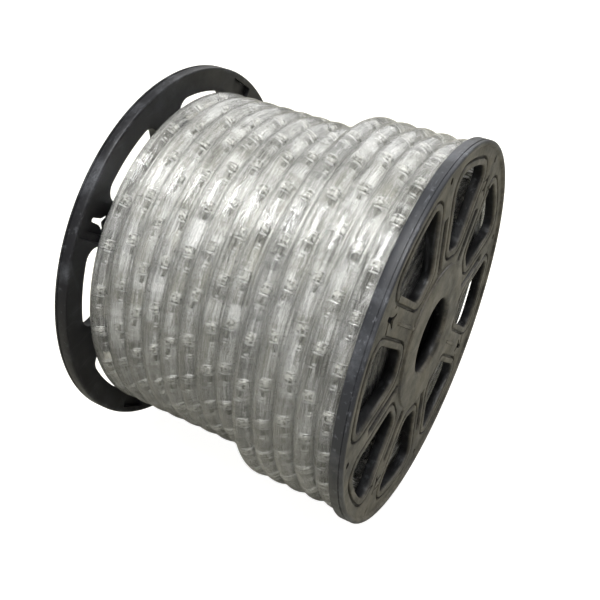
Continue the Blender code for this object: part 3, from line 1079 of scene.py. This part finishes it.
class REEL_OT_flanges(Operator):
    """Make both moulded flanges"""

    bl_idname = "reel.flanges"
    bl_label = "Flanges"

    def execute(self, context):
        sizes, looks = context.scene.spool_sizes, context.scene.reel_finishes
        for name, side, turned, colour, dust, rim, scratches, share, inside in (
                ("flange_left", -1, sizes.left_turned, looks.left,
                 looks.left_dust, looks.left_rim, 0.5, 0.25, None),
                ("flange_right", 1, 0.0, looks.right,
                 looks.right_dust, looks.right_rim, 0.9, 0.35, tuple(looks.left))):
            mat = plastic(name.replace("_", " ") + " plastic", tuple(colour),
                          tuple(looks.scuff), scratches, share, tuple(dust),
                          tuple(rim), inside)
            points, faces = flange_mesh(sizes, side, turned)
            obj = new_piece(name + "_moulding", points, faces, mat, weld=1e-6)
            for prisms in star_cuts(side, turned, sizes.face):
                cut_away(obj, prisms)
            obj.data.shade_smooth()
            obj.data.set_sharp_from_angle(angle=math.radians(EDGE_ANGLE))
            finish_piece(obj, name)
        return {"FINISHED"}


class REEL_OT_barrel(Operator):
    """Make the tube that the rope is wound on"""

    bl_idname = "reel.barrel"
    bl_label = "Barrel"

    def execute(self, context):
        sizes, looks = context.scene.spool_sizes, context.scene.reel_finishes
        half = INNER_X - GAP
        inside = sizes.barrel - BARREL_WALL
        profile = [(inside, -half), (sizes.barrel, -half), (sizes.barrel, 0.0),
                   (sizes.barrel, half), (inside, half), (inside, 0.0)]
        sides = 160
        angles = np.arange(sides) * TAU / sides
        points = revolve(profile, angles).reshape(-1, 3)
        faces = grid_faces(len(profile), sides, wrap_rows=True, wrap_cols=True)
        mat = plastic("Barrel plastic", tuple(looks.left), tuple(looks.scuff), 0.2, 0.1,
                      tuple(looks.barrel_dust))
        obj = new_piece(
            "barrel_tube", points, outward(points, faces), mat, sharp=EDGE_ANGLE)
        finish_piece(obj, "barrel")
        return {"FINISHED"}


class REEL_OT_under_turns(Operator):
    """Make the turns that lie beneath the outer ones, and the cores of the
    outermost end turns"""

    bl_idname = "reel.under_turns"
    bl_label = "Turns beneath"

    def execute(self, context):
        w = Winding(context.scene)
        rope_r = w.radius
        inside = w.barrel_outside + GAP
        half = w.end_x - UNDER_SHORT
        x = np.linspace(-half, half, 260)

        def crests(first, pitch, layer, sunk):
            """Outline of turns whose crests lie under the gaps of the turns on
            top: radius + root of (rope radius ** 2 - off ** 2), sunk a little."""
            off = (x - (first + pitch / 2)) / pitch
            off = (off - np.round(off)) * pitch
            base = rope_radius(layer, w)
            round_it = np.sqrt(np.maximum(rope_r ** 2 - off ** 2, 0))
            return np.maximum(base + round_it - sunk, base + 0.0012)

        edge = w.end_x - w.top_pitch * (w.top_turns - 1) + 0.001
        low = crests(w.low_first, w.low_pitch, LAYERS - 2, 0.0002)
        top = crests(w.end_x, -w.top_pitch, LAYERS - 1, 0.0006)
        core = rope_radius(0, w)
        profile = np.concatenate([
            np.column_stack([np.where(x > edge, top, low), x]),
            [[core, half], [inside, half], [inside, -half], [core, -half]]])
        around = 256
        points = revolve(profile, np.arange(around) * TAU / around).reshape(-1, 3)
        faces = grid_faces(len(profile), around, wrap_rows=True, wrap_cols=True)
        faces = outward(points, faces)
        row, col = faces // around, faces % around
        wrapped = (col.max(axis=1) == around - 1)[:, None] & (col == 0)
        turn = np.where(wrapped, around, col) / around
        uv = np.stack([turn * UNDER_ROUND, profile[row, 1] / (TAU * w.radius)], axis=-1)
        mat = under_turns_material(tuple(context.scene.reel_finishes.under))
        obj = new_piece("rope_under_turns", points, faces, mat, uv.reshape(-1, 2), sharp=70)
        finish_piece(obj, "rope_winding")
        rings = [(ring_frames(-w.end_x, rope_radius(LAYERS - 2, w), 90), (0, 0), True),
                 (ring_frames(w.end_x, rope_radius(LAYERS - 1, w), 90), (0, 0), True)]
        obj = build_tubes("rope_end_cores", rings, w.radius - 0.0014, 16, mat)
        finish_piece(obj, "rope_winding")
        return {"FINISHED"}


class REEL_OT_clear_rope(Operator):
    """Make the clear rope of the outer turns and of the end turns"""

    bl_idname = "reel.clear_rope"
    bl_label = "Clear rope"

    def execute(self, context):
        w = Winding(context.scene)
        clear = tuple(context.scene.reel_finishes.clear)
        mat = clear_rope_material("Clear PVC", clear)
        # The end turns' rope is tinted to half: painted shade for the light that the flanges
        # keep off them.
        grime_and_shade = clear_rope_material("Clear PVC, end turns", tuple(c * 0.5 for c in clear))
        low, top = run_angles(w)
        pieces = [("rope_end_turns", [(f, (0, 0), True) for f in end_rings(w, 110)], 20, grime_and_shade)]
        for name, route, span in (
                ("rope_top_turns", top_route, top), ("rope_low_turns", low_route, low)):
            count = int((span[1] - span[0]) / TAU * 150)
            frames = route_frame(route, w, np.linspace(*span, count))
            pieces.insert(0, (name, [(frames, (0, 0), False)], 28, mat))
        for name, runs, sides, look in pieces:
            obj = build_tubes(name, runs, w.radius, sides, look)
            obj.visible_shadow = False
            finish_piece(obj, "rope_winding")
        return {"FINISHED"}


class REEL_OT_conductors(Operator):
    """Make the two conductors inside the rope"""

    bl_idname = "reel.conductors"
    bl_label = "Conductors"

    def execute(self, context):
        w = Winding(context.scene)
        metal = metal_material("Tinned wire", tuple(context.scene.reel_finishes.wire), 0.3, 0.9)
        runs = []
        low, top = run_angles(w)
        for route, span in ((low_route, low), (top_route, top)):
            count = int((span[1] - span[0]) / TAU * 110)
            frames = route_frame(route, w, np.linspace(span[0] + 0.02, span[1] - 0.002, count))
            runs += [(frames, (s * WIRE_ASIDE, -0.0004), False) for s in (-1, 1)]
        for frames in end_rings(w, 72):
            runs += [(frames, (s * WIRE_ASIDE, 0.0), True) for s in (-1, 1)]
        obj = build_tubes("rope_conductors", runs, WIRE_R, 6, metal)
        finish_piece(obj, "rope_winding")
        return {"FINISHED"}


class REEL_OT_lamps(Operator):
    """Make the lamps, their legs, the resistors and the link wires"""

    bl_idname = "reel.lamps"
    bl_label = "Lamps"

    def execute(self, context):
        w = Winding(context.scene)
        frames, drifts = lamp_places(w)
        rng = np.random.default_rng(7)
        centre, tangent, sideways, out = (
            np.concatenate([f[k] for f in frames]) for k in range(4))
        drift = np.concatenate(drifts)
        lift = rng.uniform(-0.0003, 0.0004, len(centre))
        centre = centre + drift[:, None] * sideways + lift[:, None] * out
        lean = rng.uniform(-0.14, 0.14, len(centre))[:, None]
        across = sideways * np.cos(lean) + tangent * np.sin(lean)
        along = tangent * np.cos(lean) - sideways * np.sin(lean)
        metal = metal_material("Lamp legs", tuple(context.scene.reel_finishes.metal), 0.22, 0.2)

        def copies(shape, ahead, aside=0.0, above=0.0):
            """One copy at every lamp, so far ahead of it along the rope and
            sunk by ahead ** 2 / 2 / bend radius to follow the turn."""
            bend = -ahead * ahead / 2 / BEND_R
            return scatter(shape, centre + ahead * along + aside * across
                           + (above + bend) * out, along, across, out)

        legs = [copies(box_shape((0.0010, 0.0034, 0.0014), 0.0003), 0.0035)]
        legs += [copies(bar_shape(size), *place) for size, *place in (
            ((0.0004, 0.0030, 0.0008), -0.0032),
            ((0.0050, 0.0003, 0.0003), 0.0, 0.0, 0.0017),
            ((0.0048, 0.0003, 0.0006), 0.0, -0.0018, 0.0008),
            ((0.0048, 0.0003, 0.0006), 0.0, 0.0018, 0.0008),
            ((0.0010, 0.0010, 0.0008), 0.0096, 0.0002),
            ((0.0007, 0.0012, 0.0008), 0.0116, -0.0003))]
        for name, mat, shapes in (
                ("rope_lamps", lamp_material(),
                 [copies(box_shape((0.0056, 0.0034, 0.0030), 0.0007), 0.0)]),
                ("rope_lamp_legs", metal, legs),
                ("rope_resistors", resistor_material(),
                 [copies(box_shape((0.0044, 0.0012, 0.0010), 0.0003), 0.0064)]),
                ("rope_link_wires", metal, link_wires(frames, drifts, rng))):
            points, faces = join_meshes(shapes)
            obj = new_piece(name, points, outward(points, faces), mat, sharp=50)
            finish_piece(obj, "rope_winding")
        return {"FINISHED"}


class REEL_OT_stage(Operator):
    """Make the floor, the soft lamps of the studio and the camera"""

    bl_idname = "reel.stage"
    bl_label = "Stage"

    def execute(self, context):
        scene = context.scene
        mesh = bpy.data.meshes.new("floor")
        mesh.from_pydata([(-6, -6, 0), (6, -6, 0), (6, 6, 0), (-6, 6, 0)], [], [(0, 1, 2, 3)])
        mat, tree, shader = principled("Pale floor", (0.47, 0.455, 0.38), 0.9)
        seen = node(tree, "ShaderNodeLightPath").outputs["Is Camera Ray"]
        shader.inputs["Emission Color"].default_value = (1, 1, 1, 1)
        tree.links.new(math_node(tree, "MULTIPLY", seen, 0.92),
                       shader.inputs["Emission Strength"])
        mesh.materials.append(mat)
        floor = bpy.data.objects.new("floor", mesh)
        scene.collection.objects.link(floor)

        def soft(name, place, target, size, power):
            light = bpy.data.lights.new(name, "AREA")
            light.shape = "RECTANGLE"
            light.size, light.size_y = size
            light.energy = power
            obj = bpy.data.objects.new(name, light)
            scene.collection.objects.link(obj)
            aim = np.array(target) - np.array(place)
            obj.location = place
            obj.rotation_euler = vector_angles(aim)
            return obj

        soft("overhead", (0.05, -0.23, 1.5), (0, 0, 0.12), (0.55, 0.44), 20)
        soft("back", (0.0, 1.5, 0.9), (0, 0, 0.15), (2.0, 1.2), 16)
        soft("front", (0.15, -1.3, 1.25), (0, 0, 0.12), (0.8, 0.45), 3.2)
        soft("right", (1.6, -0.5, 0.9), (0, 0, 0.12), (0.8, 0.8), 2)

        world = bpy.data.worlds.new("Studio")
        scene.world = world
        world.use_nodes = True
        back = world.node_tree.nodes["Background"]
        back.inputs["Color"].default_value = (1.0, 1.0, 1.0, 1)
        back.inputs["Strength"].default_value = 0.18

        camera = bpy.data.cameras.new("camera")
        camera.sensor_width = SENSOR
        camera.lens = FOCAL_PIXELS / PICTURE_PIXELS * SENSOR
        camera.clip_end = 30
        obj = bpy.data.objects.new("camera", camera)
        scene.collection.objects.link(obj)
        obj.location = CAMERA_PLACE
        obj.rotation_euler = vector_angles(CAMERA_AIM)
        scene.camera = obj
        scene.view_settings.view_transform = "Standard"
        return {"FINISHED"}


def vector_angles(aim):
    """Euler angles that point an object's -Z along aim, with +Y upward."""
    return Vector(aim).to_track_quat("-Z", "Y").to_euler()


class REEL_PT_panel(Panel):
    """Lists the pieces and their settings"""

    bl_idname = "REEL_PT_panel"
    bl_label = "Rope light reel"
    bl_space_type = "VIEW_3D"
    bl_region_type = "UI"
    bl_category = "Reel"

    def draw(self, context):
        layout = self.layout
        for name, _ in GROUPS:
            holder = getattr(context.scene, name)
            box = layout.box()
            for key in holder.__annotations__:
                box.prop(holder, key)
        for operator in STEPS:
            layout.operator(operator.bl_idname)


GROUPS = (("spool_sizes", SpoolSizes), ("rope_sizes", RopeSizes), ("reel_finishes", Finishes))
STEPS = (REEL_OT_stage, REEL_OT_flanges, REEL_OT_barrel, REEL_OT_under_turns,
         REEL_OT_clear_rope, REEL_OT_conductors, REEL_OT_lamps)
CLASSES = (SpoolSizes, RopeSizes, Finishes, *STEPS, REEL_PT_panel)


def register():
    """Register the classes and hang the settings on the scene."""
    for each in CLASSES:
        bpy.utils.register_class(each)
    for name, group in GROUPS:
        setattr(bpy.types.Scene, name, PointerProperty(type=group))


def unregister():
    """Undo register."""
    for name, _ in GROUPS:
        delattr(bpy.types.Scene, name)
    for each in reversed(CLASSES):
        bpy.utils.unregister_class(each)


def main():
    """Build every piece in order."""
    register()
    bpy.ops.reel.stage()
    bpy.ops.reel.flanges()
    bpy.ops.reel.barrel()
    bpy.ops.reel.under_turns()
    bpy.ops.reel.clear_rope()
    bpy.ops.reel.conductors()
    bpy.ops.reel.lamps()


if __name__ == "__main__":
    main()
